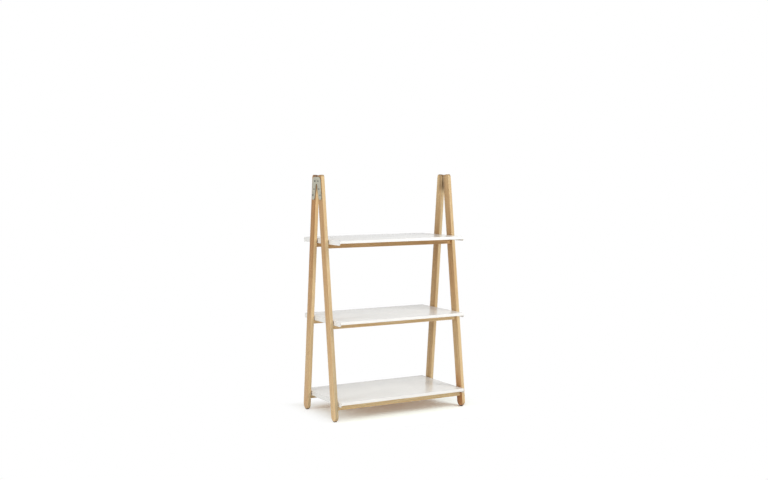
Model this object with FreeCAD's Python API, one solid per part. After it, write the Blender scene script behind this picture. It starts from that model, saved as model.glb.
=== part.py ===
import FreeCAD, Part
import math
import os

# Low open bookcase: two ash A-frames, joined by rails, carry three white sheet-steel trays.
# Frame of the part: X runs along the shelves, -Y is the front, +Z is up, Z = 0 is the floor.
# The origin lies on the floor under the middle of the bookcase. Lengths are in millimetres.

# Driving dimensions of the whole bookcase
overall_height = 1270.0
frame_length = 786.0
foot_spread = 347.0
apex_gap = 1.6
overrun = 5.0

# Legs: four ash boards, round at the foot, square at the top
leg_thickness = 18.0
leg_width = 54.0
leg_top_radius = 10.0
leg_arris = 1.2
foot_standoff = 3.0

# Foot pads: a block of rubber glued into a flat under the round foot
pad_length = 16.0
pad_side_margin = 1.5
pad_arris = 0.8

# Shelves: folded trays, shallow along the front and the rear, deeper at the ends
shelf_gap = 4.0
shelf_depth = 448.0
shelf_sheet = 1.5
shelf_bend_radius = 3.0
shelf_lip_height = 15.0
shelf_end_height = 25.0
shelf_end_corner_radius = 9.8
shelf_bottom_height = 106.0
shelf_pitch = 414.5
level_names = ["bottom", "middle", "top"]

# Rails: ash bars under each shelf, between the inner faces of the legs
rail_thickness = 18.0
rail_drop = 47.0
rail_setback = 14.0
rail_arris = 1.0

# Each rail end steps down to pass a slot in the tray's end, which hooks over it
rail_end_step = 7.5
rail_slot_clearance = 1.0

# Tenons: a loose slip of beech in each rail end, glued into the leg
tenon_thickness = 8.0
tenon_height = 28.0
tenon_in_leg = 12.0
tenon_in_rail = 18.0
tenon_arris = 1.5

# Top brackets: a forked steel plate on the outer face of each A-frame
bracket_thickness = 2.5
bracket_top_drop = 11.5
bracket_length = 120.0
bracket_edge_margin = 9.0
bracket_corner_radius = 13.0
bracket_prong_radius = 15.0
bracket_slot_drop = 48.0
bracket_slot_radius = 8.5
fillet_wall_share = 0.95

# Bracket screws: three in each leg, with a low round head and a hexagon socket
screw_diameter = 4.0
screw_depth = 13.0
screw_head_diameter = 8.0
screw_head_height = 2.2
screw_clearance = 0.05
screw_drops = [34.0, 75.0, 107.0]
screw_across_shares = [0.13, 0.26, 0.50]
socket_width = 2.5
socket_depth = 1.4

# Places worked out from the driving dimensions
half_length = frame_length / 2
inner_half = half_length - leg_thickness
half_width = leg_width / 2
foot_radius = leg_width / 2
foot_centre_height = foot_standoff + foot_radius
foot_centre_offset = foot_spread / 2
pad_thickness = foot_centre_height - math.sqrt(foot_radius ** 2 - (pad_length / 2) ** 2)
shelf_length = 2 * (inner_half - shelf_gap)
shelf_heights = [shelf_bottom_height + shelf_pitch * level for level in range(len(level_names))]

# The slant is found from the apex gap: first along the centre line, then with the rounded top
rise = overall_height - foot_centre_height
slant = math.atan((foot_centre_offset - half_width - apex_gap / 2) / rise)
top_drop = (half_width - leg_top_radius) * math.sin(slant) + leg_top_radius * (1 - math.cos(slant))
apex_offset = apex_gap / 2 + half_width / math.cos(slant)
slant = math.atan((foot_centre_offset - apex_offset) / (rise - top_drop))
leg_length = (rise - top_drop) / math.cos(slant)
half_width_level = half_width / math.cos(slant)

x_axis = FreeCAD.Vector(1, 0, 0)
y_axis = FreeCAD.Vector(0, 1, 0)
z_axis = FreeCAD.Vector(0, 0, 1)


def leg_offset(height):
    """Distance of a leg's centre line from the middle plane at a height."""
    return foot_centre_offset - (height - foot_centre_height) * math.tan(slant)


def box(x_min, x_max, y_min, y_max, z_min, z_max):
    corner = FreeCAD.Vector(x_min, y_min, z_min)
    return Part.makeBox(x_max - x_min, y_max - y_min, z_max - z_min, corner)


def rod(radius, length, x, y, z, direction):
    return Part.makeCylinder(radius, length, FreeCAD.Vector(x, y, z), direction)


def mirrored_x(shape):
    return shape.mirror(FreeCAD.Vector(0, 0, 0), x_axis)


def mirrored_y(shape):
    return shape.mirror(FreeCAD.Vector(0, 0, 0), y_axis)


def edges_along(shape, direction):
    """Straight edges that run along a direction."""
    found = []
    for edge in shape.Edges:
        if isinstance(edge.Curve, Part.Line) and edge.Curve.Direction.cross(direction).Length < 1e-6:
            found.append(edge)
    return found


def arc(start, middle, end):
    return Part.Arc(start, middle, end).toShape()


def save(name, shapes):
    """Write one node; several like pieces share a node as separate solids."""
    solids = [solid for shape in shapes for solid in shape.Solids]
    shape = solids[0] if len(solids) == 1 else Part.makeCompound(solids)
    shape.exportStep("parts/" + name + ".step")


# Places that several pieces share
def rail_face_offset(height):
    """Distance of a rail's outer face from the middle plane, under the shelf at a height."""
    middle = height - (rail_drop + shelf_sheet) / 2
    return leg_offset(middle) + half_width_level - rail_setback


def rail_centre_offset(height):
    return rail_face_offset(height) - rail_thickness / 2


def tenon_box(height, x_min, x_max):
    """Space of a tenon on the rear side, under the shelf at a height."""
    y = rail_centre_offset(height)
    z = height - (rail_drop + shelf_sheet + rail_end_step) / 2
    half_thickness = tenon_thickness / 2
    half_height = tenon_height / 2
    return box(x_min, x_max, y - half_thickness, y + half_thickness, z - half_height, z + half_height)


def screw_places():
    """Offset and height of the three screws in one leg."""
    places = []
    for drop, share in zip(screw_drops, screw_across_shares):
        height = overall_height - drop
        inner_edge = leg_offset(height) - half_width_level
        offset = inner_edge + bracket_edge_margin + share * (leg_width - bracket_edge_margin)
        places.append((offset, height))
    return places


# Legs
def leg_outline():
    """Side view of a leg: s runs up the centre line from the foot's centre, c runs outward."""
    along = FreeCAD.Vector(0, -math.sin(slant), math.cos(slant))
    across = FreeCAD.Vector(0, math.cos(slant), math.sin(slant))
    foot = FreeCAD.Vector(0, foot_centre_offset, foot_centre_height)

    def point(s, c):
        return foot + along * s + across * c

    r = leg_top_radius
    corner = r * (1 - math.cos(math.pi / 4))
    edges = [
        arc(point(0, -half_width), point(-foot_radius, 0), point(0, half_width)),
        Part.makeLine(point(0, half_width), point(leg_length - r, half_width)),
        arc(
            point(leg_length - r, half_width),
            point(leg_length - corner, half_width - corner),
            point(leg_length, half_width - r),
        ),
        Part.makeLine(point(leg_length, half_width - r), point(leg_length, r - half_width)),
        arc(
            point(leg_length, r - half_width),
            point(leg_length - corner, corner - half_width),
            point(leg_length - r, -half_width),
        ),
        Part.makeLine(point(leg_length - r, -half_width), point(0, -half_width)),
    ]
    return Part.Face(Part.Wire(edges))


def rear_right_leg_board():
    """Board with eased edges, flattened under the foot for the pad."""
    outline = leg_outline()
    outline.translate(FreeCAD.Vector(inner_half, 0, 0))
    board = outline.extrude(FreeCAD.Vector(leg_thickness, 0, 0))
    flat_edges = [edge for edge in board.Edges if edge.BoundBox.XLength < leg_thickness / 2]
    board = board.makeChamfer(leg_arris, flat_edges)
    under = box(
        inner_half - overrun,
        half_length + overrun,
        foot_centre_offset - leg_width,
        foot_centre_offset + leg_width,
        -overrun,
        pad_thickness,
    )
    return board.cut(under)


def leg_cuts():
    """Mortises and blind screw holes of the rear right leg."""
    cuts = [tenon_box(height, inner_half, inner_half + tenon_in_leg) for height in shelf_heights]
    for y, z in screw_places():
        start = half_length - screw_depth
        cuts.append(rod(screw_diameter / 2 + screw_clearance, screw_depth, start, y, z, x_axis))
    return cuts


def make_legs():
    rear_right = rear_right_leg_board().cut(leg_cuts())
    front_right = mirrored_y(rear_right)
    save("leg_rear_right", [rear_right])
    save("leg_front_right", [front_right])
    save("leg_rear_left", [mirrored_x(rear_right)])
    save("leg_front_left", [mirrored_x(front_right)])


# Foot pads
def make_foot_pads():
    y = foot_centre_offset
    pad = box(
        inner_half + pad_side_margin,
        half_length - pad_side_margin,
        y - pad_length / 2,
        y + pad_length / 2,
        0,
        pad_thickness,
    )
    rim = [edge for edge in pad.Edges if edge.BoundBox.ZMax < pad_thickness / 2]
    rear_right = pad.makeChamfer(pad_arris, rim)
    front_right = mirrored_y(rear_right)
    save("foot_pad_rear_right", [rear_right])
    save("foot_pad_front_right", [front_right])
    save("foot_pad_rear_left", [mirrored_x(rear_right)])
    save("foot_pad_front_left", [mirrored_x(front_right)])


# Shelves
def tray_block(height):
    """The tray's outer shape before it is hollowed: round top edges and corners."""
    block = box(
        -shelf_length / 2,
        shelf_length / 2,
        -shelf_depth / 2,
        shelf_depth / 2,
        height - shelf_end_height,
        height,
    )
    rim = [edge for edge in block.Edges if edge.BoundBox.ZMin > height - shelf_end_height / 2]
    return block.makeFillet(shelf_bend_radius, edges_along(block, z_axis) + rim)


def tray_right_end(height):
    """The deeper band at the right end, with its lower corners round."""
    block = box(
        shelf_length / 2 - shelf_bend_radius,
        shelf_length / 2,
        -shelf_depth / 2,
        shelf_depth / 2,
        height - shelf_end_height,
        height,
    )
    lip = height - shelf_lip_height
    lower = [edge for edge in edges_along(block, x_axis) if edge.BoundBox.ZMax < lip]
    return block.makeFillet(shelf_end_corner_radius, lower)


def make_shelf(name, height):
    hollow = box(
        shelf_sheet - shelf_length / 2,
        shelf_length / 2 - shelf_sheet,
        shelf_sheet - shelf_depth / 2,
        shelf_depth / 2 - shelf_sheet,
        height - shelf_end_height,
        height - shelf_sheet,
    )
    lip_band = box(-shelf_length, shelf_length, -shelf_depth, shelf_depth, height - shelf_lip_height, height)
    right_end = tray_right_end(height)
    tray = tray_block(height).cut(hollow)
    tray = tray.common(lip_band.fuse([right_end, mirrored_x(right_end)]))
    slot_outer = rail_face_offset(height) + rail_slot_clearance
    slot_inner = rail_face_offset(height) - rail_thickness - rail_slot_clearance
    slot_top = height - shelf_sheet - rail_end_step + rail_slot_clearance
    slot = box(
        shelf_length / 2 - shelf_bend_radius,
        shelf_length / 2 + overrun,
        slot_inner,
        slot_outer,
        height - shelf_end_height - overrun,
        slot_top,
    )
    slots = [slot, mirrored_y(slot), mirrored_x(slot), mirrored_x(mirrored_y(slot))]
    save("shelf_" + name, [tray.cut(slots).removeSplitter()])


# Rails
def make_rails(name, height):
    """A rail carries the tray; its ends step down to pass the slots in the tray's ends."""
    face = rail_face_offset(height)
    top = height - shelf_sheet
    rail = box(-inner_half, inner_half, face - rail_thickness, face, height - rail_drop, top)
    rail = rail.makeChamfer(rail_arris, edges_along(rail, x_axis))
    step = box(
        shelf_length / 2 - shelf_sheet - rail_slot_clearance,
        inner_half + overrun,
        face - rail_thickness - overrun,
        face + overrun,
        top - rail_end_step,
        top + overrun,
    )
    mortise = tenon_box(height, inner_half - tenon_in_rail, inner_half)
    rear = rail.cut([step, mirrored_x(step), mortise, mirrored_x(mortise)])
    save("rail_" + name + "_rear", [rear])
    save("rail_" + name + "_front", [mirrored_y(rear)])


# Tenons
def make_tenons(name, height):
    tenon = tenon_box(height, inner_half - tenon_in_rail, inner_half + tenon_in_leg)
    rear_right = tenon.makeChamfer(tenon_arris, edges_along(tenon, x_axis))
    front_right = mirrored_y(rear_right)
    save("rail_tenons_" + name, [rear_right, front_right, mirrored_x(rear_right), mirrored_x(front_right)])


# Top brackets
def bracket_outline():
    """Fork seen from the side: two prongs that follow the legs, and a slot that widens downward."""
    top = overall_height - bracket_top_drop
    bottom = top - bracket_length
    slot_centre = overall_height - bracket_slot_drop - bracket_slot_radius
    prong = half_width_level - bracket_edge_margin
    outer_top = leg_offset(top) + prong
    outer_bottom = leg_offset(bottom) + prong
    inner_bottom = leg_offset(bottom) - prong

    def point(y, z):
        return FreeCAD.Vector(half_length, y, z)

    r = bracket_slot_radius
    return Part.Face(Part.Wire([
        Part.makeLine(point(-outer_top, top), point(outer_top, top)),
        Part.makeLine(point(outer_top, top), point(outer_bottom, bottom)),
        Part.makeLine(point(outer_bottom, bottom), point(inner_bottom, bottom)),
        Part.makeLine(point(inner_bottom, bottom), point(r, slot_centre)),
        arc(point(r, slot_centre), point(0, slot_centre + r), point(-r, slot_centre)),
        Part.makeLine(point(-r, slot_centre), point(-inner_bottom, bottom)),
        Part.makeLine(point(-inner_bottom, bottom), point(-outer_bottom, bottom)),
        Part.makeLine(point(-outer_bottom, bottom), point(-outer_top, top)),
    ]))


def make_brackets():
    plate = bracket_outline().extrude(x_axis * bracket_thickness)
    middle = overall_height - bracket_top_drop - bracket_length / 2
    upper = [edge for edge in edges_along(plate, x_axis) if edge.BoundBox.ZMin > middle + bracket_length / 4]
    plate = plate.makeFillet(bracket_corner_radius, upper)
    lower = [edge for edge in edges_along(plate, x_axis) if edge.BoundBox.ZMax < middle - bracket_length / 4]
    prong = half_width_level - bracket_edge_margin
    plate = plate.makeFillet(min(bracket_prong_radius, fillet_wall_share * prong), lower)
    radius = screw_diameter / 2 + screw_clearance
    holes = []
    for y, z in screw_places():
        for side in (-1, 1):
            holes.append(rod(radius, bracket_thickness, half_length, side * y, z, x_axis))
    plate = plate.cut(holes)
    save("top_bracket_right", [plate])
    save("top_bracket_left", [mirrored_x(plate)])


# Bracket screws
def make_screw(y, z):
    seat = half_length + bracket_thickness
    head = rod(screw_head_diameter / 2, screw_head_height, seat, y, z, x_axis)
    length = screw_depth + bracket_thickness
    shank = rod(screw_diameter / 2, length, half_length - screw_depth, y, z, x_axis)
    corner_radius = socket_width / math.sqrt(3)
    floor = seat + screw_head_height - socket_depth
    corners = []
    for corner in range(7):
        angle = corner * math.pi / 3
        corner_y = y + corner_radius * math.cos(angle)
        corner_z = z + corner_radius * math.sin(angle)
        corners.append(FreeCAD.Vector(floor, corner_y, corner_z))
    socket = Part.Face(Part.makePolygon(corners)).extrude(x_axis * (socket_depth + overrun))
    return head.fuse(shank).removeSplitter().cut(socket)


def make_bracket_screws():
    right = [make_screw(side * y, z) for y, z in screw_places() for side in (-1, 1)]
    save("bracket_screws", right + [mirrored_x(screw) for screw in right])


def main():
    os.makedirs("parts", exist_ok=True)
    make_legs()
    make_foot_pads()
    for name, height in zip(level_names, shelf_heights):
        make_shelf(name, height)
        make_rails(name, height)
        make_tenons(name, height)
    make_brackets()
    make_bracket_screws()


main()
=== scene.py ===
import math
import random

import bmesh
import bpy
from mathutils import Matrix, Vector


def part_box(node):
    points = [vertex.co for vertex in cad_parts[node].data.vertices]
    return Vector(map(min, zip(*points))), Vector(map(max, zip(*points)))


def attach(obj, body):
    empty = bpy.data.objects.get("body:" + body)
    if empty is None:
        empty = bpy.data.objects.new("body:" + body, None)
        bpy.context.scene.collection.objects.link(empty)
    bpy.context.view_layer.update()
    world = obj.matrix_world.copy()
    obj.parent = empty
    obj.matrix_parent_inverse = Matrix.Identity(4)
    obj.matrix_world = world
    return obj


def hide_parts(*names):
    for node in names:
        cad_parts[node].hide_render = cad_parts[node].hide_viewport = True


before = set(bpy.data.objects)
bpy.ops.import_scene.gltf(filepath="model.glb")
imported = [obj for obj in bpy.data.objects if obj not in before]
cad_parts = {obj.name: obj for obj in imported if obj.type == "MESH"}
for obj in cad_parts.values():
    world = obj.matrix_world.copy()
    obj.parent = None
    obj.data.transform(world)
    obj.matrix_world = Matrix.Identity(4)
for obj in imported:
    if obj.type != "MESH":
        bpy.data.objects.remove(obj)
bpy.ops.object.select_all(action="DESELECT")
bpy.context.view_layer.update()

# An open bookcase: two A-frames of ash boards carry three white sheet-steel trays on ash rails.
# X runs along the shelves, -Y is the front, +Z is up. Lengths are in metres.

sides = {"left": -1, "right": 1}
ends = {"front": -1, "rear": 1}
levels = ["bottom", "middle", "top"]

# Sizes of the boards, beside what the frame gives. The slant follows from leg_top_radius, the
# rounding of the solids' tops; the boards' tops get the larger leg_top_round.
leg_width = 0.054
leg_top_radius = 0.010
leg_top_round = 0.016
leg_arris = 0.0014
foot_standoff = 0.003
apex_gap = 0.0016
rail_arris = 0.0012
rail_end_step = 0.0075
rail_slot_clearance = 0.001

# Sizes of the trays
tray_sheet = 0.0015
tray_bend_radius = 0.003
tray_lip_height = 0.015
tray_end_corner_radius = 0.0098
tray_edge_round = 0.00025
tray_seam_width = 0.0014
tray_seam_reach = 0.007
cutter_overrun = 0.005
cutter_slack = 0.00002

# Sizes of the top plates and their screws
plate_edge_margin = 0.009
plate_corner_radius = 0.020
plate_prong_radius = 0.015
plate_slot_drop = 0.048
plate_slot_radius = 0.0085
plate_rim_round = 0.0004
screw_head_diameter = 0.008
screw_head_round = 0.0014
screw_drops = [0.034, 0.075, 0.107]
screw_across_shares = [0.13, 0.26, 0.50]
socket_width = 0.0025
socket_depth = 0.0014

# Sizes of the foot pads
pad_round = 0.0009

# Flats that make up each rounding, and sides of what is turned
foot_flats = 20
leg_top_flats = 10
arris_flats = 3
pad_flats = 3
tray_bend_flats = 6
tray_corner_flats = 8
tray_edge_flats = 2
plate_corner_flats = 10
plate_rim_flats = 2
screw_head_flats = 5
screw_head_sides = 40
socket_sides = 6
slot_sides = 48

# Angles up to which a surface is shaded smooth, and from which a tray's cut edges are rounded
smooth_angle = math.radians(35)
tray_edge_angle = math.radians(50)

# Cosine from which an edge or a face counts as being in line with an axis
in_line = 0.999

# Places worked out from the frame
leg_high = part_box("leg_rear_right")[1]
pad_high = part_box("foot_pad_rear_right")[1]
overall_height = leg_high.z
half_width = leg_width / 2
nearly_half_width = 0.999 * half_width
foot_height = foot_standoff + half_width
foot_offset = leg_high.y - half_width

# The legs' slant: first along the centre line, then with the rounded top
rise = overall_height - foot_height
slant = math.atan((foot_offset - half_width - apex_gap / 2) / rise)
top_drop = (half_width - leg_top_radius) * math.sin(slant) + leg_top_radius * (1 - math.cos(slant))
slant = math.atan((foot_offset - apex_gap / 2 - half_width / math.cos(slant)) / (rise - top_drop))
leg_length = (rise - top_drop) / math.cos(slant)
half_width_level = half_width / math.cos(slant)


def leg_offset(height):
    """Distance of a leg's centre line from the middle plane at a height."""
    return foot_offset - (height - foot_height) * math.tan(slant)


# The camera stands to the left of the front, at eye level with the top plates. It is turned by
# degrees of yaw, pitch and roll.
camera_place = (-2.6462, -4.9102, 1.2447)
camera_angles = (28.342, 3.815, -0.341)
camera_lens = 48.443
camera_shift = 0.01042
camera_sensor = 36.0


def place_camera():
    camera = bpy.data.objects.new("camera", bpy.data.cameras.new("camera"))
    bpy.context.scene.collection.objects.link(camera)
    camera.location = camera_place
    yaw, pitch, roll = (math.radians(angle) for angle in camera_angles)
    turn = (
        Matrix.Rotation(-yaw, 3, "Z")
        @ Matrix.Rotation(math.pi / 2 - pitch, 3, "X")
        @ Matrix.Rotation(roll, 3, "Z")
    )
    camera.rotation_euler = turn.to_euler()
    camera.data.lens = camera_lens
    camera.data.shift_y = camera_shift
    camera.data.sensor_width = camera_sensor
    bpy.context.scene.camera = camera


# Work at the bench: blocks, selections, cuts and finishing
def settle(name):
    """Name the piece that was just added, and keep its place in its mesh."""
    bpy.ops.object.transform_apply(location=True, rotation=True, scale=True)
    piece = bpy.context.object
    piece.name = piece.data.name = name
    return piece


def block(name, low, high):
    """A cube stretched between two corners."""
    low, high = Vector(low), Vector(high)
    bpy.ops.mesh.primitive_cube_add(size=1, location=(low + high) / 2, scale=high - low)
    return settle(name)


def post(name, radius, length, middle, sides_round):
    """A bar along X with a number of sides."""
    bpy.ops.mesh.primitive_cylinder_add(
        vertices=sides_round,
        radius=radius,
        depth=length,
        location=middle,
        rotation=(math.pi / 2, 0, math.pi / 2),
    )
    return settle(name)


def choose(piece):
    """Make a piece the only selected one, and the active one."""
    bpy.ops.object.select_all(action="DESELECT")
    piece.select_set(True)
    bpy.context.view_layer.objects.active = piece


def take(piece):
    """Put one piece alone on the bench, in edit mode."""
    choose(piece)
    bpy.ops.object.mode_set(mode="EDIT")


def put_back():
    bpy.ops.object.mode_set(mode="OBJECT")


def pick(kind, rule):
    """Select the faces or edges that a rule accepts, and nothing else."""
    bpy.ops.mesh.select_mode(type=kind)
    bpy.ops.mesh.select_all(action="DESELECT")
    shape = bmesh.from_edit_mesh(bpy.context.object.data)
    items = {"FACE": shape.faces, "EDGE": shape.edges}[kind]
    for item in items:
        if rule(item):
            item.select_set(True)
    bmesh.update_edit_mesh(bpy.context.object.data)


def middle_of(edge):
    return (edge.verts[0].co + edge.verts[1].co) / 2


def runs_along(edge, axis):
    """True for an edge that runs along X, Y or Z, given as 0, 1 or 2."""
    way = (edge.verts[1].co - edge.verts[0].co).normalized()
    return abs(way[axis]) > in_line


def looks_along(face, axis, way=0):
    """True for a face that looks along an axis, to one side only if way is -1 or 1."""
    if way:
        return face.normal[axis] * way > in_line
    return abs(face.normal[axis]) > in_line


def rounding(width, flats):
    """Round the selected edges."""
    bpy.ops.mesh.bevel(
        offset=width,
        segments=flats,
        profile=0.5,
        affect="EDGES",
        clamp_overlap=False,
    )


def cut(point, normal, clear=False):
    """Cut the whole piece along a plane; clear takes away what lies behind it and closes the cut."""
    bpy.ops.mesh.select_mode(type="FACE")
    bpy.ops.mesh.select_all(action="SELECT")
    bpy.ops.mesh.bisect(plane_co=point, plane_no=normal, clear_inner=clear, use_fill=clear)


def finish_with(piece, kind, **settings):
    """Add a modifier to a piece and apply it."""
    choose(piece)
    modifier = piece.modifiers.new(kind, kind)
    for name, value in settings.items():
        setattr(modifier, name, value)
    bpy.ops.object.modifier_apply(modifier=modifier.name)


def carve(piece, cutter, operation):
    """Cut a piece with another shape, which is then thrown away."""
    finish_with(piece, "BOOLEAN", operation=operation, object=cutter, solver="EXACT")
    bpy.data.objects.remove(cutter, do_unlink=True)


def smooth(piece):
    choose(piece)
    bpy.ops.object.shade_smooth_by_angle(angle=smooth_angle)


def deliver(piece, finish, node):
    """Give a finished piece its finish and its body, and hide the node that it stands for."""
    piece.data.materials.clear()
    piece.data.materials.append(finish)
    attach(piece, "root")
    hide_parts(node)


# Legs
def make_leg(side, end):
    """A board stood upright on its round foot, leaned to its slant, and flattened over the pad."""
    node = "leg_" + end + "_" + side
    low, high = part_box(node)
    foot_y = ends[end] * foot_offset
    bottom = foot_height - half_width
    top = foot_height + leg_length
    board = block(
        node + "_board",
        (low.x, foot_y - half_width, bottom),
        (high.x, foot_y + half_width, top),
    )
    take(board)
    pick("EDGE", lambda edge: runs_along(edge, 0) and middle_of(edge).z < foot_height)
    rounding(nearly_half_width, foot_flats)
    pick("EDGE", lambda edge: runs_along(edge, 0) and middle_of(edge).z > top - cutter_slack)
    rounding(leg_top_round, leg_top_flats)
    pick("EDGE", lambda edge: any(looks_along(face, 0) for face in edge.link_faces))
    rounding(leg_arris, arris_flats)
    bpy.ops.mesh.select_all(action="SELECT")
    bpy.ops.transform.rotate(
        value=-ends[end] * slant,
        orient_axis="X",
        center_override=(0, foot_y, foot_height),
    )
    cut((0, 0, pad_high.z), (0, 0, 1), clear=True)
    put_back()
    smooth(board)
    finish = ash(
        node + "_ash",
        centre=Vector(((low.x + high.x) / 2, foot_y, foot_height)),
        turn=(ends[end] * slant, 0, 0),
        section=(high.x - low.x, leg_width),
        grain=(0, leg_length),
        warmth_and_shade=leg_warmth_and_shade[node],
        shade=leg_shade[node],
    )
    deliver(board, finish, node)


# Foot pads
def make_foot_pad(side, end):
    """A block of dark rubber with its edges rounded, glued under the foot."""
    node = "foot_pad_" + end + "_" + side
    pad = block(node + "_block", *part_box(node))
    take(pad)
    pick("FACE", lambda face: looks_along(face, 2, 1))
    bpy.ops.mesh.inset(thickness=pad_round, use_outset=False)
    pick("EDGE", lambda edge: middle_of(edge).z < pad_high.z - pad_round)
    rounding(pad_round, pad_flats)
    put_back()
    smooth(pad)
    deliver(pad, rubber, node)


# Rails
def make_rail(level, end):
    """A bar between the legs, with its ends stepped down to pass under the tray's ends."""
    node = "rail_" + level + "_" + end
    low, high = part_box(node)
    tray_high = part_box("shelf_" + level)[1]
    step_x = tray_high.x - tray_sheet - rail_slot_clearance
    step_z = high.z - rail_end_step
    bar = block(node + "_bar", low, (high.x, high.y, step_z))
    take(bar)
    cut((step_x, 0, 0), (1, 0, 0))
    cut((-step_x, 0, 0), (1, 0, 0))

    def is_middle_top(face):
        return looks_along(face, 2, 1) and abs(face.calc_center_median().x) < step_x / 2

    def is_arris(edge):
        if not runs_along(edge, 0):
            return False
        place = middle_of(edge)
        over_step = abs(place.x) > step_x
        upper = step_z if over_step else high.z
        return min(abs(place.z - upper), abs(place.z - low.z)) < cutter_slack

    pick("FACE", is_middle_top)
    bpy.ops.mesh.extrude_region_move(TRANSFORM_OT_translate={"value": (0, 0, rail_end_step)})
    pick("EDGE", is_arris)
    rounding(rail_arris, arris_flats)
    put_back()
    smooth(bar)
    finish = ash(
        node + "_ash",
        centre=(low + high) / 2,
        turn=(math.pi / 2, 0, math.pi / 2),
        section=(high.y - low.y, high.z - low.z),
        grain=(low.x, high.x),
        warmth_and_shade=rail_warmth_and_shade[level],
        shade=no_shade,
    )
    deliver(bar, finish, node)


# Trays
def make_tray(level):
    """A sheet folded down all round: shallow lips, and deeper ends that hook over the rails."""
    node = "shelf_" + level
    low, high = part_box(node)
    lip_z = high.z - tray_lip_height
    tray = block(node + "_tray", low, high)
    take(tray)
    pick("FACE", lambda face: looks_along(face, 2, -1))
    bpy.ops.mesh.delete(type="ONLY_FACE")
    pick("EDGE", lambda edge: runs_along(edge, 2) or middle_of(edge).z > lip_z)
    rounding(tray_bend_radius, tray_bend_flats)
    cut((0, 0, lip_z), (0, 0, 1))
    pick("FACE", lambda face: looks_along(face, 1) and face.calc_center_median().z < lip_z)
    bpy.ops.mesh.delete(type="FACE")
    put_back()
    finish_with(tray, "SOLIDIFY", thickness=tray_sheet, offset=-1, use_even_offset=True)
    carve(tray, corner_former(low, high), "INTERSECT")
    for end in ends:
        for side in sides:
            carve(tray, slot_former(level, end, side), "DIFFERENCE")
            carve(tray, seam_former(low, high, end, side), "DIFFERENCE")
    finish_with(
        tray,
        "BEVEL",
        width=tray_edge_round,
        segments=tray_edge_flats,
        limit_method="ANGLE",
        angle_limit=tray_edge_angle,
    )
    smooth(tray)
    deliver(tray, powder_coat, node)


def corner_former(low, high):
    """A block as large as the tray whose long lower edges are round, to round the tray's ends."""
    slack = Vector((cutter_overrun, cutter_slack, 0))
    former = block("former", low - slack, high + slack + Vector((0, 0, cutter_overrun)))
    take(former)
    pick("EDGE", lambda edge: runs_along(edge, 0) and middle_of(edge).z < high.z)
    rounding(tray_end_corner_radius, tray_corner_flats)
    put_back()
    return former


def slot_former(level, end, side):
    """A block as large as the gap in the tray's end that passes over a rail's stepped end."""
    rail_low, rail_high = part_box("rail_" + level + "_" + end)
    low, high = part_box("shelf_" + level)
    clearance = rail_slot_clearance
    outer = sides[side] * (high.x + cutter_overrun)
    inner = sides[side] * (high.x - tray_bend_radius)
    return block(
        "former",
        (min(outer, inner), rail_low.y - clearance, low.z - cutter_overrun),
        (max(outer, inner), rail_high.y + clearance, rail_high.z - rail_end_step + clearance),
    )


def seam_former(low, high, end, side):
    """A thin upright plate set across a corner, which parts the folded end from the lip."""
    half = tray_seam_width / 2
    top = high.z - tray_bend_radius
    former = block(
        "former",
        (-tray_seam_reach, -half, low.z - cutter_overrun),
        (tray_seam_reach, half, top),
    )
    turn = math.atan2(ends[end], sides[side])
    corner = Vector((sides[side] * high.x, ends[end] * high.y, 0))
    former.data.transform(Matrix.Translation(corner) @ Matrix.Rotation(turn, 4, "Z"))
    return former


# Top plates
def make_plate(side):
    """A forked steel plate over the apex: two prongs that follow the legs."""
    node = "top_bracket_" + side
    low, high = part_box(node)
    prong = half_width_level - plate_edge_margin
    outer_top = leg_offset(high.z) + prong
    outer_bottom = leg_offset(low.z) + prong
    plate = block(node + "_plate", (low.x, -outer_bottom, low.z), (high.x, outer_bottom, high.z))
    take(plate)
    pick("FACE", lambda face: looks_along(face, 2, 1))
    bpy.ops.transform.resize(value=(1, outer_top / outer_bottom, 1))
    put_back()
    carve(plate, fork_former(low, high), "DIFFERENCE")
    take(plate)
    corner_zone = (high.z - low.z) / 8
    pick("EDGE", lambda edge: runs_along(edge, 0) and middle_of(edge).z > high.z - corner_zone)
    rounding(plate_corner_radius, plate_corner_flats)
    pick("EDGE", lambda edge: runs_along(edge, 0) and middle_of(edge).z < low.z + corner_zone)
    rounding(plate_prong_radius, plate_corner_flats)
    outer_face = high.x if side == "right" else low.x

    def is_rim(edge):
        flat = [face for face in edge.link_faces if looks_along(face, 0)]
        return len(flat) == 1 and abs(middle_of(edge).x - outer_face) < cutter_slack

    pick("EDGE", is_rim)
    rounding(plate_rim_round, plate_rim_flats)
    put_back()
    smooth(plate)
    deliver(plate, zinc, node)


def fork_former(low, high):
    """The gap between the prongs: round at its top, wider towards the floor."""
    slot_z = overall_height - plate_slot_drop - plate_slot_radius
    middle = ((low.x + high.x) / 2, 0, slot_z)
    length = high.x - low.x + 2 * cutter_overrun
    former = post("former", plate_slot_radius, length, middle, slot_sides)
    inner_bottom = leg_offset(low.z) - half_width_level + plate_edge_margin
    depth = slot_z - low.z + cutter_overrun
    flare = (inner_bottom - plate_slot_radius) / (slot_z - low.z)
    bottom_half = plate_slot_radius + flare * depth
    take(former)
    cut((0, 0, slot_z), (0, 0, 1), clear=True)
    pick("FACE", lambda face: looks_along(face, 2, -1))
    bpy.ops.mesh.extrude_region_move(TRANSFORM_OT_translate={"value": (0, 0, -depth)})
    bpy.ops.transform.resize(value=(1, bottom_half / plate_slot_radius, 1))
    put_back()
    return former


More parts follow.
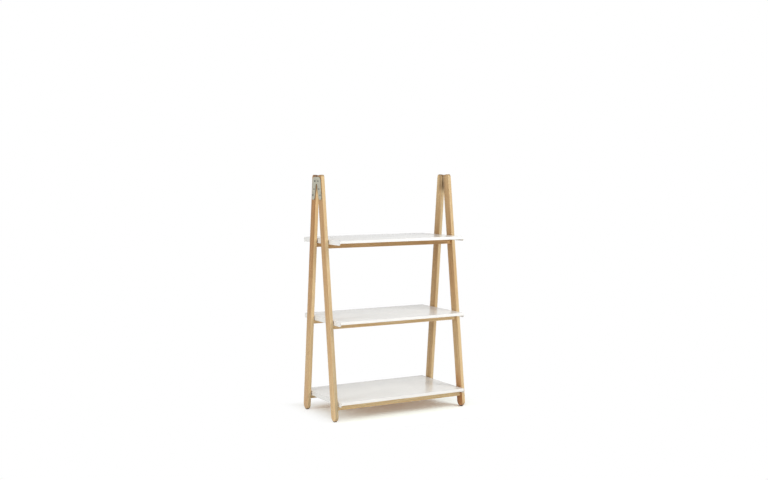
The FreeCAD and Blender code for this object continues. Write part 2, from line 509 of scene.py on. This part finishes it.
# Screws of the top plates
def make_screw_pattern(side):
    """A low round head with a hexagon socket, on the plate's face at floor level."""
    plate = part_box("top_bracket_" + side)
    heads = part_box("bracket_screws")
    seat = plate[1].x if side == "right" else plate[0].x
    crown = heads[1].x if side == "right" else heads[0].x
    head_height = abs(crown - seat)
    middle = ((seat + crown) / 2, 0, 0)
    head = post("screw_pattern", screw_head_diameter / 2, head_height, middle, screw_head_sides)
    take(head)
    pick("FACE", lambda face: looks_along(face, 0, sides[side]))
    rounding(screw_head_round, screw_head_flats)
    put_back()
    socket_radius = socket_width / math.sqrt(3)
    former = post("former", socket_radius, 2 * socket_depth, (crown, 0, 0), socket_sides)
    carve(head, former, "DIFFERENCE")
    smooth(head)
    return head


def make_screws():
    """One head is made and the others are copies of it, each moved to its place."""
    places = []
    for drop, share in zip(screw_drops, screw_across_shares):
        height = overall_height - drop
        inner_edge = leg_offset(height) - half_width_level
        offset = inner_edge + plate_edge_margin + share * (leg_width - plate_edge_margin)
        places += [(offset, height), (-offset, height)]
    for side in sides:
        pattern = make_screw_pattern(side)
        for number, (offset, height) in enumerate(places):
            screw = pattern.copy()
            screw.data = pattern.data.copy()
            screw.name = screw.data.name = "plate_screw_" + side + "_" + str(number + 1)
            bpy.context.scene.collection.objects.link(screw)
            screw.data.transform(Matrix.Translation((0, offset, height)))
            deliver(screw, dark_steel, "bracket_screws")
        bpy.data.objects.remove(pattern, do_unlink=True)


# Finishes: sums of sockets are written as sums, and one method adds every other node
class Wire:
    """A number's socket; each operator adds its Math node."""

    def __init__(self, wiring, socket):
        self.wiring = wiring
        self.socket = socket

    def maths(self, operation, *values):
        inputs = {number: value for number, value in enumerate(values)}
        return self.wiring.node("ShaderNodeMath", {"operation": operation}, inputs)

    def __add__(self, other):
        return self.maths("ADD", self, other)

    def __radd__(self, other):
        return self.maths("ADD", other, self)

    def __sub__(self, other):
        return self.maths("SUBTRACT", self, other)

    def __rsub__(self, other):
        return self.maths("SUBTRACT", other, self)

    def __mul__(self, other):
        return self.maths("MULTIPLY", self, other)

    def __rmul__(self, other):
        return self.maths("MULTIPLY", other, self)

    def __truediv__(self, other):
        return self.maths("DIVIDE", self, other)

    def __pow__(self, other):
        return self.maths("POWER", self, other)

    def __abs__(self):
        return self.maths("ABSOLUTE", self)

    def at_least(self, other):
        return self.maths("MAXIMUM", self, other)

    def fraction(self):
        return self.maths("FRACT", self)


class Wiring:
    """The nodes of a material or of the sky."""

    def __init__(self, tree):
        self.tree = tree

    def node(self, kind, settings=None, inputs=None, output=0):
        """Add a node: its settings first, then the values or links of its sockets."""
        made = self.tree.nodes.new(kind)
        for name, value in (settings or {}).items():
            setattr(made, name, value)
        for name, value in (inputs or {}).items():
            self.join(value, made.inputs[name])
        return Wire(self, made.outputs[output])

    def join(self, value, socket):
        if isinstance(value, Wire):
            self.tree.links.new(value.socket, socket)
        else:
            socket.default_value = value

    def place(self):
        return self.node("ShaderNodeTexCoord", output="Object")

    def mapped(self, vector, kind="POINT", location=(0, 0, 0), rotation=(0, 0, 0), scale=(1, 1, 1)):
        """Move, turn or stretch a place; TEXTURE undoes what POINT does."""
        sockets = {"Vector": vector, "Location": location, "Rotation": rotation, "Scale": scale}
        return self.node("ShaderNodeMapping", {"vector_type": kind}, sockets)

    def noise(self, vector, scale, detail, roughness=0.5):
        """Noise without distortion."""
        sockets = {"Vector": vector, "Scale": scale, "Detail": detail, "Roughness": roughness}
        return self.node("ShaderNodeTexNoise", None, sockets)

    def remap(self, value, low, high, to_low=0.0, to_high=1.0, kind="SMOOTHSTEP"):
        """Turn the stretch from low to high into that from to_low to to_high, and hold its ends."""
        sockets = {0: value, 1: low, 2: high, 3: to_low, 4: to_high}
        return self.node("ShaderNodeMapRange", {"interpolation_type": kind}, sockets)

    def mix(self, factor, first, second, kind="MIX"):
        """Mix two colours: they go in at sockets 6 and 7 and come out at output 2."""
        sockets = {"Factor": factor, 6: first, 7: second}
        settings = {"data_type": "RGBA", "blend_type": kind}
        return self.node("ShaderNodeMix", settings, sockets, output=2)

    def stain(self, amount, colour, tone):
        """Multiply a colour by a tone, by a certain amount."""
        return self.mix(amount, colour, tone, "MULTIPLY")

    def parts(self, vector):
        """The three numbers of a vector."""
        made = self.node("ShaderNodeSeparateXYZ", None, {0: vector})
        outputs = made.socket.node.outputs
        return [Wire(self, outputs[number]) for number in range(3)]

    def seen(self):
        """Two numbers: 1 for what the camera sees, and 1 for what a reflection or glass shows."""
        rays = self.node("ShaderNodeLightPath")
        outputs = rays.socket.node.outputs
        kinds = ("Camera", "Glossy", "Transmission")
        camera, glossy, glass = (Wire(self, outputs["Is " + kind + " Ray"]) for kind in kinds)
        return camera, glossy + glass


class Finish(Wiring):
    """A material with its shader."""

    def __init__(self, name):
        self.material = bpy.data.materials.new(name)
        self.material.use_nodes = True
        super().__init__(self.material.node_tree)
        self.shader = self.tree.nodes["Principled BSDF"]

    def bump(self, height, distance, strength):
        sockets = {"Height": height, "Distance": distance, "Strength": strength}
        return self.node("ShaderNodeBump", None, sockets)

    def shade(self, **sockets):
        """Set or link the shader's sockets, whose names are written with underscores."""
        for name, value in sockets.items():
            self.join(value, self.shader.inputs[name.replace("_", " ")])
        return self.material


# How honey-coloured a board's wide faces are at its start, at its turning place and at its end,
# from -palest for sapwood to 1 for heartwood. This is partly the board's own tone and partly
# painted shade and painted light, set board by board: darker under the top shelf, paler low down
# and on the bottom rail. warmth_turn is the turning place, as a share of the board's length.
leg_warmth_and_shade = {
    "leg_front_left": (-0.02, 0.76, 0.88),
    "leg_rear_left": (-0.06, 1.00, 1.15),
    "leg_front_right": (0.12, 0.84, 0.35),
    "leg_rear_right": (0.20, 0.76, -0.12),
}
rail_warmth_and_shade = {
    "bottom": (-0.18, -0.18, -0.18),
    "middle": (0.20, 0.16, 0.14),
    "top": (0.70, 0.68, 0.66),
}
warmth_turn = 0.72
palest = 0.20

# How much painted shade darkens a leg's narrow faces at its start and at its end, and how red its
# wide faces are at its start, partly as painted shade. red_reach is how far the red goes along the
# leg.
leg_shade = {
    "leg_front_left": (1.00, 0.00, 0.00),
    "leg_rear_left": (0.10, 0.00, 0.40),
    "leg_front_right": (0.20, 0.60, 1.00),
    "leg_rear_right": (0.20, 0.80, 0.00),
}
no_shade = (0, 0, 0)
red_reach = 0.26

# Heights between which painted shade darkens the legs' inner faces towards the apex, where the
# slit between them lies in shadow
slit_low = 1.16
slit_high = 1.21

# Growth rings of the ash: their spacing, how far they wander, and their drift along the board
ring_spacing = 0.0034
ring_wander = 0.016
ring_drift = 0.008

# Darker wood at the far end, partly oil and partly painted shade at the legs' tops, and rubbed wood
# at the arrises: the distances from there at which each begins and is full
darker_end_from = 0.014
darker_end_full = 0.002
rubbed_from = 0.0016
rubbed_full = 0.0003

# Colours that the ash is mixed from
sapwood = (0.866, 0.681, 0.392, 1)
heartwood = (0.47, 0.256, 0.092, 1)
rubbed_wood = (0.80, 0.64, 0.42, 1)

# Tones that the ash is stained with. The narrow faces' tone and the slit's tone are painted shade;
# the red tone and the oiled tone are partly painted shade.
narrow_shade_tone = (0.68, 0.73, 0.82, 1)
late_wood_tone = (0.73, 0.60, 0.46, 1)
streak_tone = (0.78, 0.68, 0.55, 1)
cloud_tone = (0.94, 0.82, 0.70, 1)
fibre_tone = (0.66, 0.55, 0.44, 1)
pore_tone = (0.42, 0.34, 0.28, 1)
slit_shade_tone = (0.28, 0.20, 0.12, 1)
red_and_shade_tone = (0.745, 0.49, 0.36, 1)
oil_and_shade_tone = (0.56, 0.44, 0.33, 1)


def ash(name, centre, turn, section, grain, warmth_and_shade, shade):
    """Oiled ash. In the board's own frame X is its thickness and Y its width, and Z runs along
    the grain, from the first to the second number of grain."""
    finish = Finish(name)
    chance = random.Random(name)
    board = finish.mapped(finish.place(), "TEXTURE", location=centre, rotation=turn)
    across, over, along = finish.parts(board)
    apart = finish.mapped(board, location=[chance.uniform(0, 5) for axis in range(3)])

    # Growth rings: the distance from a pith beside the board, which wanders slowly along it
    slow = finish.mapped(apart, scale=(1, 1, 0.09))
    wander = finish.noise(slow, 9.0, detail=3.0)
    pith_across = chance.uniform(0.035, 0.060)
    pith_over = chance.uniform(-0.025, 0.018)
    from_pith = ((across + pith_across) ** 2 + (over + pith_over) ** 2) ** 0.5
    years = (from_pith + ring_wander * wander + ring_drift * along) / ring_spacing
    year = years.fraction()
    late_wood = finish.remap(year, 0.35, 0.92) * finish.remap(year, 1.0, 0.93)

    # Broad streaks, fine fibres and the short dark pores of the early wood
    streak = finish.noise(finish.mapped(apart, scale=(1, 1, 0.03)), 55.0, detail=4.0, roughness=0.6)
    cloud = finish.noise(finish.mapped(apart, scale=(1, 1, 0.35)), 11.0, detail=2.0)
    fibre = finish.noise(finish.mapped(apart, scale=(1, 1, 0.02)), 900.0, detail=3.0, roughness=0.65)
    dash = finish.noise(finish.mapped(apart, scale=(1, 1, 0.05)), 1500.0, detail=1.0)
    pore = finish.remap(dash, 0.58, 0.68) * (1 - 0.75 * late_wood)

    # The wide faces' colour drifts along the board, partly its own tone and partly painted light and
    # shade. The narrow faces are pale, partly as painted light, and painted shade darkens them along
    # the legs.
    normal = finish.node("ShaderNodeTexCoord", output="Normal")
    faced = finish.parts(finish.mapped(normal, "TEXTURE", rotation=turn))
    turning = grain[0] + warmth_turn * (grain[1] - grain[0])
    honey_and_shade = finish.remap(along, grain[0], turning, warmth_and_shade[0], warmth_and_shade[1], kind="LINEAR")
    honey_and_shade = honey_and_shade + finish.remap(along, turning, grain[1], 0.0, warmth_and_shade[2] - warmth_and_shade[1], kind="LINEAR")
    narrow = finish.remap(abs(faced[1]), 0.5, 0.9)
    honey_and_shade = (honey_and_shade + 0.6 * (wander - 0.5)) * (1 - narrow)
    heart_and_shade = (honey_and_shade + palest) / (1 + palest)
    colour = finish.mix(heart_and_shade, sapwood, heartwood)
    # Painted shade on the narrow faces, changing along the leg
    narrow_shade = finish.remap(along, grain[0], grain[1], shade[0], shade[1], kind="LINEAR")
    colour = finish.stain(narrow_shade * narrow, colour, narrow_shade_tone)

    # Rings, streaks, clouds, fibres and pores darken it
    colour = finish.stain(0.50 * late_wood, colour, late_wood_tone)
    colour = finish.stain(finish.remap(streak, 0.40, 0.66, 0.0, 0.55), colour, streak_tone)
    colour = finish.stain(finish.remap(cloud, 0.42, 0.70, 0.0, 0.45), colour, cloud_tone)
    colour = finish.stain(finish.remap(fibre, 0.35, 0.70, 0.0, 0.28), colour, fibre_tone)
    colour = finish.stain(0.42 * pore, colour, pore_tone)

    # Painted shade: the legs' inner faces, which look at the middle plane, are darkened near the
    # apex, where the narrow slit between them is in shadow
    whereabouts = finish.parts(finish.place())
    looks = finish.parts(normal)
    inside = finish.remap(whereabouts[1] * looks[1], 0.0, -0.002)
    slit_shade = inside * finish.remap(whereabouts[2], slit_low, slit_high)
    colour = finish.stain(0.8 * slit_shade, colour, slit_shade_tone)

    # Red near the start of some boards: partly red heartwood, partly painted shade where the bottom
    # shelf shades the feet
    red_and_shade = finish.remap(along, grain[0] + red_reach, grain[0]) * (1 - narrow)
    colour = finish.stain(shade[2] * red_and_shade, colour, red_and_shade_tone)

    # End grain has soaked up more oil. The board's far end is darker too, partly oil and partly
    # painted shade at the legs' tops; the arrises are rubbed paler
    end_grain = finish.remap(abs(faced[2]), 0.35, 1.0)
    near_end = finish.remap(along, grain[1] - darker_end_from, grain[1] - darker_end_full)
    colour = finish.stain(0.40 * end_grain.at_least(near_end), colour, oil_and_shade_tone)
    half_x, half_y = section[0] / 2, section[1] / 2
    near_side = finish.remap(abs(across), half_x - rubbed_from, half_x - rubbed_full)
    near_edge = finish.remap(abs(over), half_y - rubbed_from, half_y - rubbed_full)
    rubbed = near_side * near_edge * finish.remap(cloud, 0.35, 0.65)
    colour = finish.mix(0.40 * rubbed, colour, rubbed_wood)

    relief = 0.55 * fibre - 0.9 * pore - 0.25 * late_wood
    roughness = 0.46 + 0.12 * fibre + 0.16 * pore - 0.07 * rubbed
    return finish.shade(
        Base_Color=colour,
        Roughness=roughness,
        Normal=finish.bump(relief, 0.00012, 0.7),
        IOR=1.45,
    )


# Colours of the other finishes
coat_shaded = (0.82, 0.815, 0.79, 1)
coat_clear = (0.85, 0.845, 0.82, 1)
coat_dust = (0.70, 0.69, 0.67, 1)
zinc_dark = (0.41, 0.40, 0.32, 1)
zinc_light = (0.52, 0.505, 0.405, 1)
zinc_dull = (0.25, 0.252, 0.22, 1)
zinc_cut_and_shade = (0.09, 0.075, 0.05, 1)
steel_black = (0.07, 0.072, 0.07, 1)
steel_worn = (0.22, 0.22, 0.21, 1)
rubber_clean = (0.030, 0.021, 0.017, 1)
rubber_dusty = (0.085, 0.070, 0.058, 1)
beech_light = (0.56, 0.36, 0.21, 1)
beech_dark = (0.44, 0.26, 0.14, 1)
beech_fleck = (0.28, 0.14, 0.07, 1)


def make_powder_coat():
    """White powder coat with a high gloss, faintly dimpled, a little dusty in places."""
    finish = Finish("powder_coat_white")
    place = finish.place()
    dimple = finish.noise(place, 650.0, detail=2.0, roughness=0.4)
    cloud = finish.noise(place, 7.0, detail=3.0)
    speck = finish.remap(finish.noise(place, 1900.0, detail=0.0), 0.74, 0.80)
    colour = finish.mix(finish.remap(cloud, 0.3, 0.7), coat_shaded, coat_clear)
    colour = finish.mix(0.10 * speck, colour, coat_dust)
    return finish.shade(
        Base_Color=colour,
        Roughness=0.17 + 0.07 * cloud + 0.15 * speck,
        Normal=finish.bump(dimple, 0.00004, 0.2),
        IOR=1.5,
    )


def make_zinc():
    """Zinc plating on steel: soft spangle, fine rolling lines, dull marks, and cut edges darkened
    partly as oxide and partly as painted shade; the back, which faces the legs, is darkened as
    painted shade."""
    finish = Finish("zinc_plating")
    place = finish.place()
    sockets = {"Vector": place, "Scale": 130.0, "Randomness": 1.0}
    spangle = finish.node("ShaderNodeTexVoronoi", {"feature": "F1"}, sockets, output="Color")
    tint = finish.parts(spangle)[0]
    lines = finish.noise(finish.mapped(place, scale=(1, 1, 0.04)), 1400.0, detail=2.0)
    cloud = finish.noise(place, 60.0, detail=4.0, roughness=0.6)
    mark = finish.remap(cloud, 0.56, 0.74)
    colour = finish.mix(tint, zinc_dark, zinc_light)
    colour = finish.mix(0.55 * mark, colour, zinc_dull)
    faced = finish.parts(finish.node("ShaderNodeTexCoord", output="Normal"))
    # Painted shade on the back, which faces the legs in the dark slit, and on the cut edges, whose
    # dark is partly oxide
    hidden_side_shade = finish.remap(finish.parts(place)[0] * faced[0], 0.0, -0.2)
    cut_edge_and_shade = hidden_side_shade.at_least(finish.remap(abs(faced[0]), 0.8, 0.3))
    colour = finish.mix(0.9 * cut_edge_and_shade, colour, zinc_cut_and_shade)
    roughness = 0.30 + 0.12 * tint + 0.20 * mark + 0.08 * lines
    return finish.shade(
        Base_Color=colour,
        Metallic=0.92 - 0.25 * mark - 0.4 * cut_edge_and_shade,
        Roughness=roughness,
        Normal=finish.bump(lines + 0.6 * cloud, 0.00003, 0.5),
    )


def make_dark_steel():
    """Nearly black screw steel with lighter worn patches."""
    finish = Finish("screw_steel_dark")
    place = finish.place()
    grain = finish.noise(place, 900.0, detail=3.0)
    worn = finish.remap(finish.noise(place, 260.0, detail=2.0), 0.48, 0.70)
    colour = finish.mix(0.6 * worn, steel_black, steel_worn)
    return finish.shade(
        Base_Color=colour,
        Metallic=0.85,
        Roughness=0.34 + 0.18 * grain,
        Normal=finish.bump(grain, 0.00002, 0.4),
    )


def make_rubber():
    """Dark brown rubber, matt and slightly grained."""
    finish = Finish("rubber_dark")
    place = finish.place()
    grain = finish.noise(place, 1300.0, detail=3.0)
    dust = finish.remap(finish.noise(place, 190.0, detail=3.0), 0.5, 0.75)
    colour = finish.mix(0.35 * dust, rubber_clean, rubber_dusty)
    return finish.shade(
        Base_Color=colour,
        Roughness=0.72 + 0.15 * grain,
        Normal=finish.bump(grain, 0.00008, 0.6),
    )


def make_beech():
    """Beech of the loose tenons: fine grain with short dark flecks along X."""
    finish = Finish("tenon_beech")
    place = finish.mapped(finish.place(), scale=(0.05, 1, 1))
    fibre = finish.noise(place, 420.0, detail=3.0)
    fleck = finish.remap(finish.noise(place, 800.0, detail=1.0), 0.6, 0.7)
    colour = finish.mix(fibre, beech_light, beech_dark)
    colour = finish.mix(0.5 * fleck, colour, beech_fleck)
    return finish.shade(
        Base_Color=colour,
        Roughness=0.6 + 0.1 * fibre,
        Normal=finish.bump(fibre, 0.0001, 0.5),
    )


# The stage: a white floor under an even sky that is brighter overhead, and three square soft lamps.
# Away from the object the floor is seen as plain white, so that it has no horizon. The strongest
# near lamp isn't mirrored, because seen from behind the trays would clip to white where they show it.
floor_half = 60.0
white = (1, 1, 1, 1)
black = (0, 0, 0, 1)
floor_colour = (0.95, 0.94, 0.91, 1)
floor_mirrored = (1.20, 1.20, 1.20, 1)
floor_seen = (1.03, 1.24, 1.27, 1)
floor_glow = (0.171, 0.050, 0.0, 1)
white_centre = (0.055, -0.03)
white_from = (0.33, 0.22)
white_over = 0.20
sky_even = 0.19
sky_overhead = 0.27
sky_behind = 0.10
lamps = {
    "lamp_front_right": {"place": (1.3, -1.8, 1.9), "size": 1.2, "watts": 37.5, "mirrored": False},
    "lamp_front_left": {"place": (-1.5, -2.1, 1.1), "size": 1.2, "watts": 17.5, "mirrored": True},
    "lamp_left": {"place": (-4.8, -0.3, 2.3), "size": 2.4, "watts": 72.0, "mirrored": True},
}
lamp_aim = (0, 0, 0.6)


def make_floor():
    """A floor that holds the shadow near the object and glows white away from it."""
    bpy.ops.mesh.primitive_plane_add(size=2 * floor_half)
    floor = bpy.context.object
    floor.name = floor.data.name = "floor"
    finish = Finish("floor_white")
    camera, mirrored = finish.seen()
    across, over = finish.parts(finish.place())[:2]
    beyond_across = abs(across - white_centre[0]) - white_from[0]
    beyond_over = abs(over - white_centre[1]) - white_from[1]
    far = finish.remap(beyond_across.at_least(beyond_over), 0.0, white_over)
    seen_colour = finish.mix(far, finish.mix(mirrored, floor_seen, floor_mirrored), black)
    colour = finish.mix(camera + mirrored, floor_colour, seen_colour)
    paint = finish.node("ShaderNodeBsdfDiffuse", None, {"Color": colour})
    near_glow = finish.mix(mirrored, floor_glow, black)
    glow_colour = finish.mix(far, near_glow, white)
    sockets = {"Color": glow_colour, "Strength": camera + mirrored}
    glow = finish.node("ShaderNodeEmission", None, sockets)
    both = finish.node("ShaderNodeAddShader", None, {0: paint, 1: glow})
    finish.join(both, finish.tree.nodes["Material Output"].inputs["Surface"])
    finish.tree.nodes.remove(finish.shader)
    floor.data.materials.append(finish.material)


def light_the_stage():
    """The sky lights the object unevenly, but is seen and mirrored as plain white."""
    world = bpy.data.worlds.new("sky")
    bpy.context.scene.world = world
    world.use_nodes = True
    sky = Wiring(world.node_tree)
    camera, mirrored = sky.seen()
    seen = camera + mirrored
    over, up = sky.parts(sky.node("ShaderNodeTexCoord", output="Generated"))[1:]
    strength = sky_even + sky_overhead * up.at_least(0.0) + sky_behind * over.at_least(0.0)
    background = sky.tree.nodes["Background"]
    sky.join(white, background.inputs["Color"])
    sky.join(seen + (1 - seen) * strength, background.inputs["Strength"])

    for name, lamp in lamps.items():
        light = bpy.data.objects.new(name, bpy.data.lights.new(name, "AREA"))
        bpy.context.scene.collection.objects.link(light)
        light.data.size = lamp["size"]
        light.data.energy = lamp["watts"]
        light.visible_glossy = lamp["mirrored"]
        light.location = lamp["place"]
        way = Vector(lamp["place"]) - Vector(lamp_aim)
        light.rotation_euler = way.to_track_quat("Z", "Y").to_euler()


place_camera()
powder_coat = make_powder_coat()
zinc = make_zinc()
dark_steel = make_dark_steel()
rubber = make_rubber()
beech = make_beech()

for side in sides:
    for end in ends:
        make_leg(side, end)
        make_foot_pad(side, end)
    make_plate(side)
make_screws()

for level in levels:
    make_tray(level)
    for end in ends:
        make_rail(level, end)
    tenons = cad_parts["rail_tenons_" + level]
    tenons.data.materials.clear()
    tenons.data.materials.append(beech)

make_floor()
light_the_stage()
bpy.context.scene.view_settings.view_transform = "Standard"
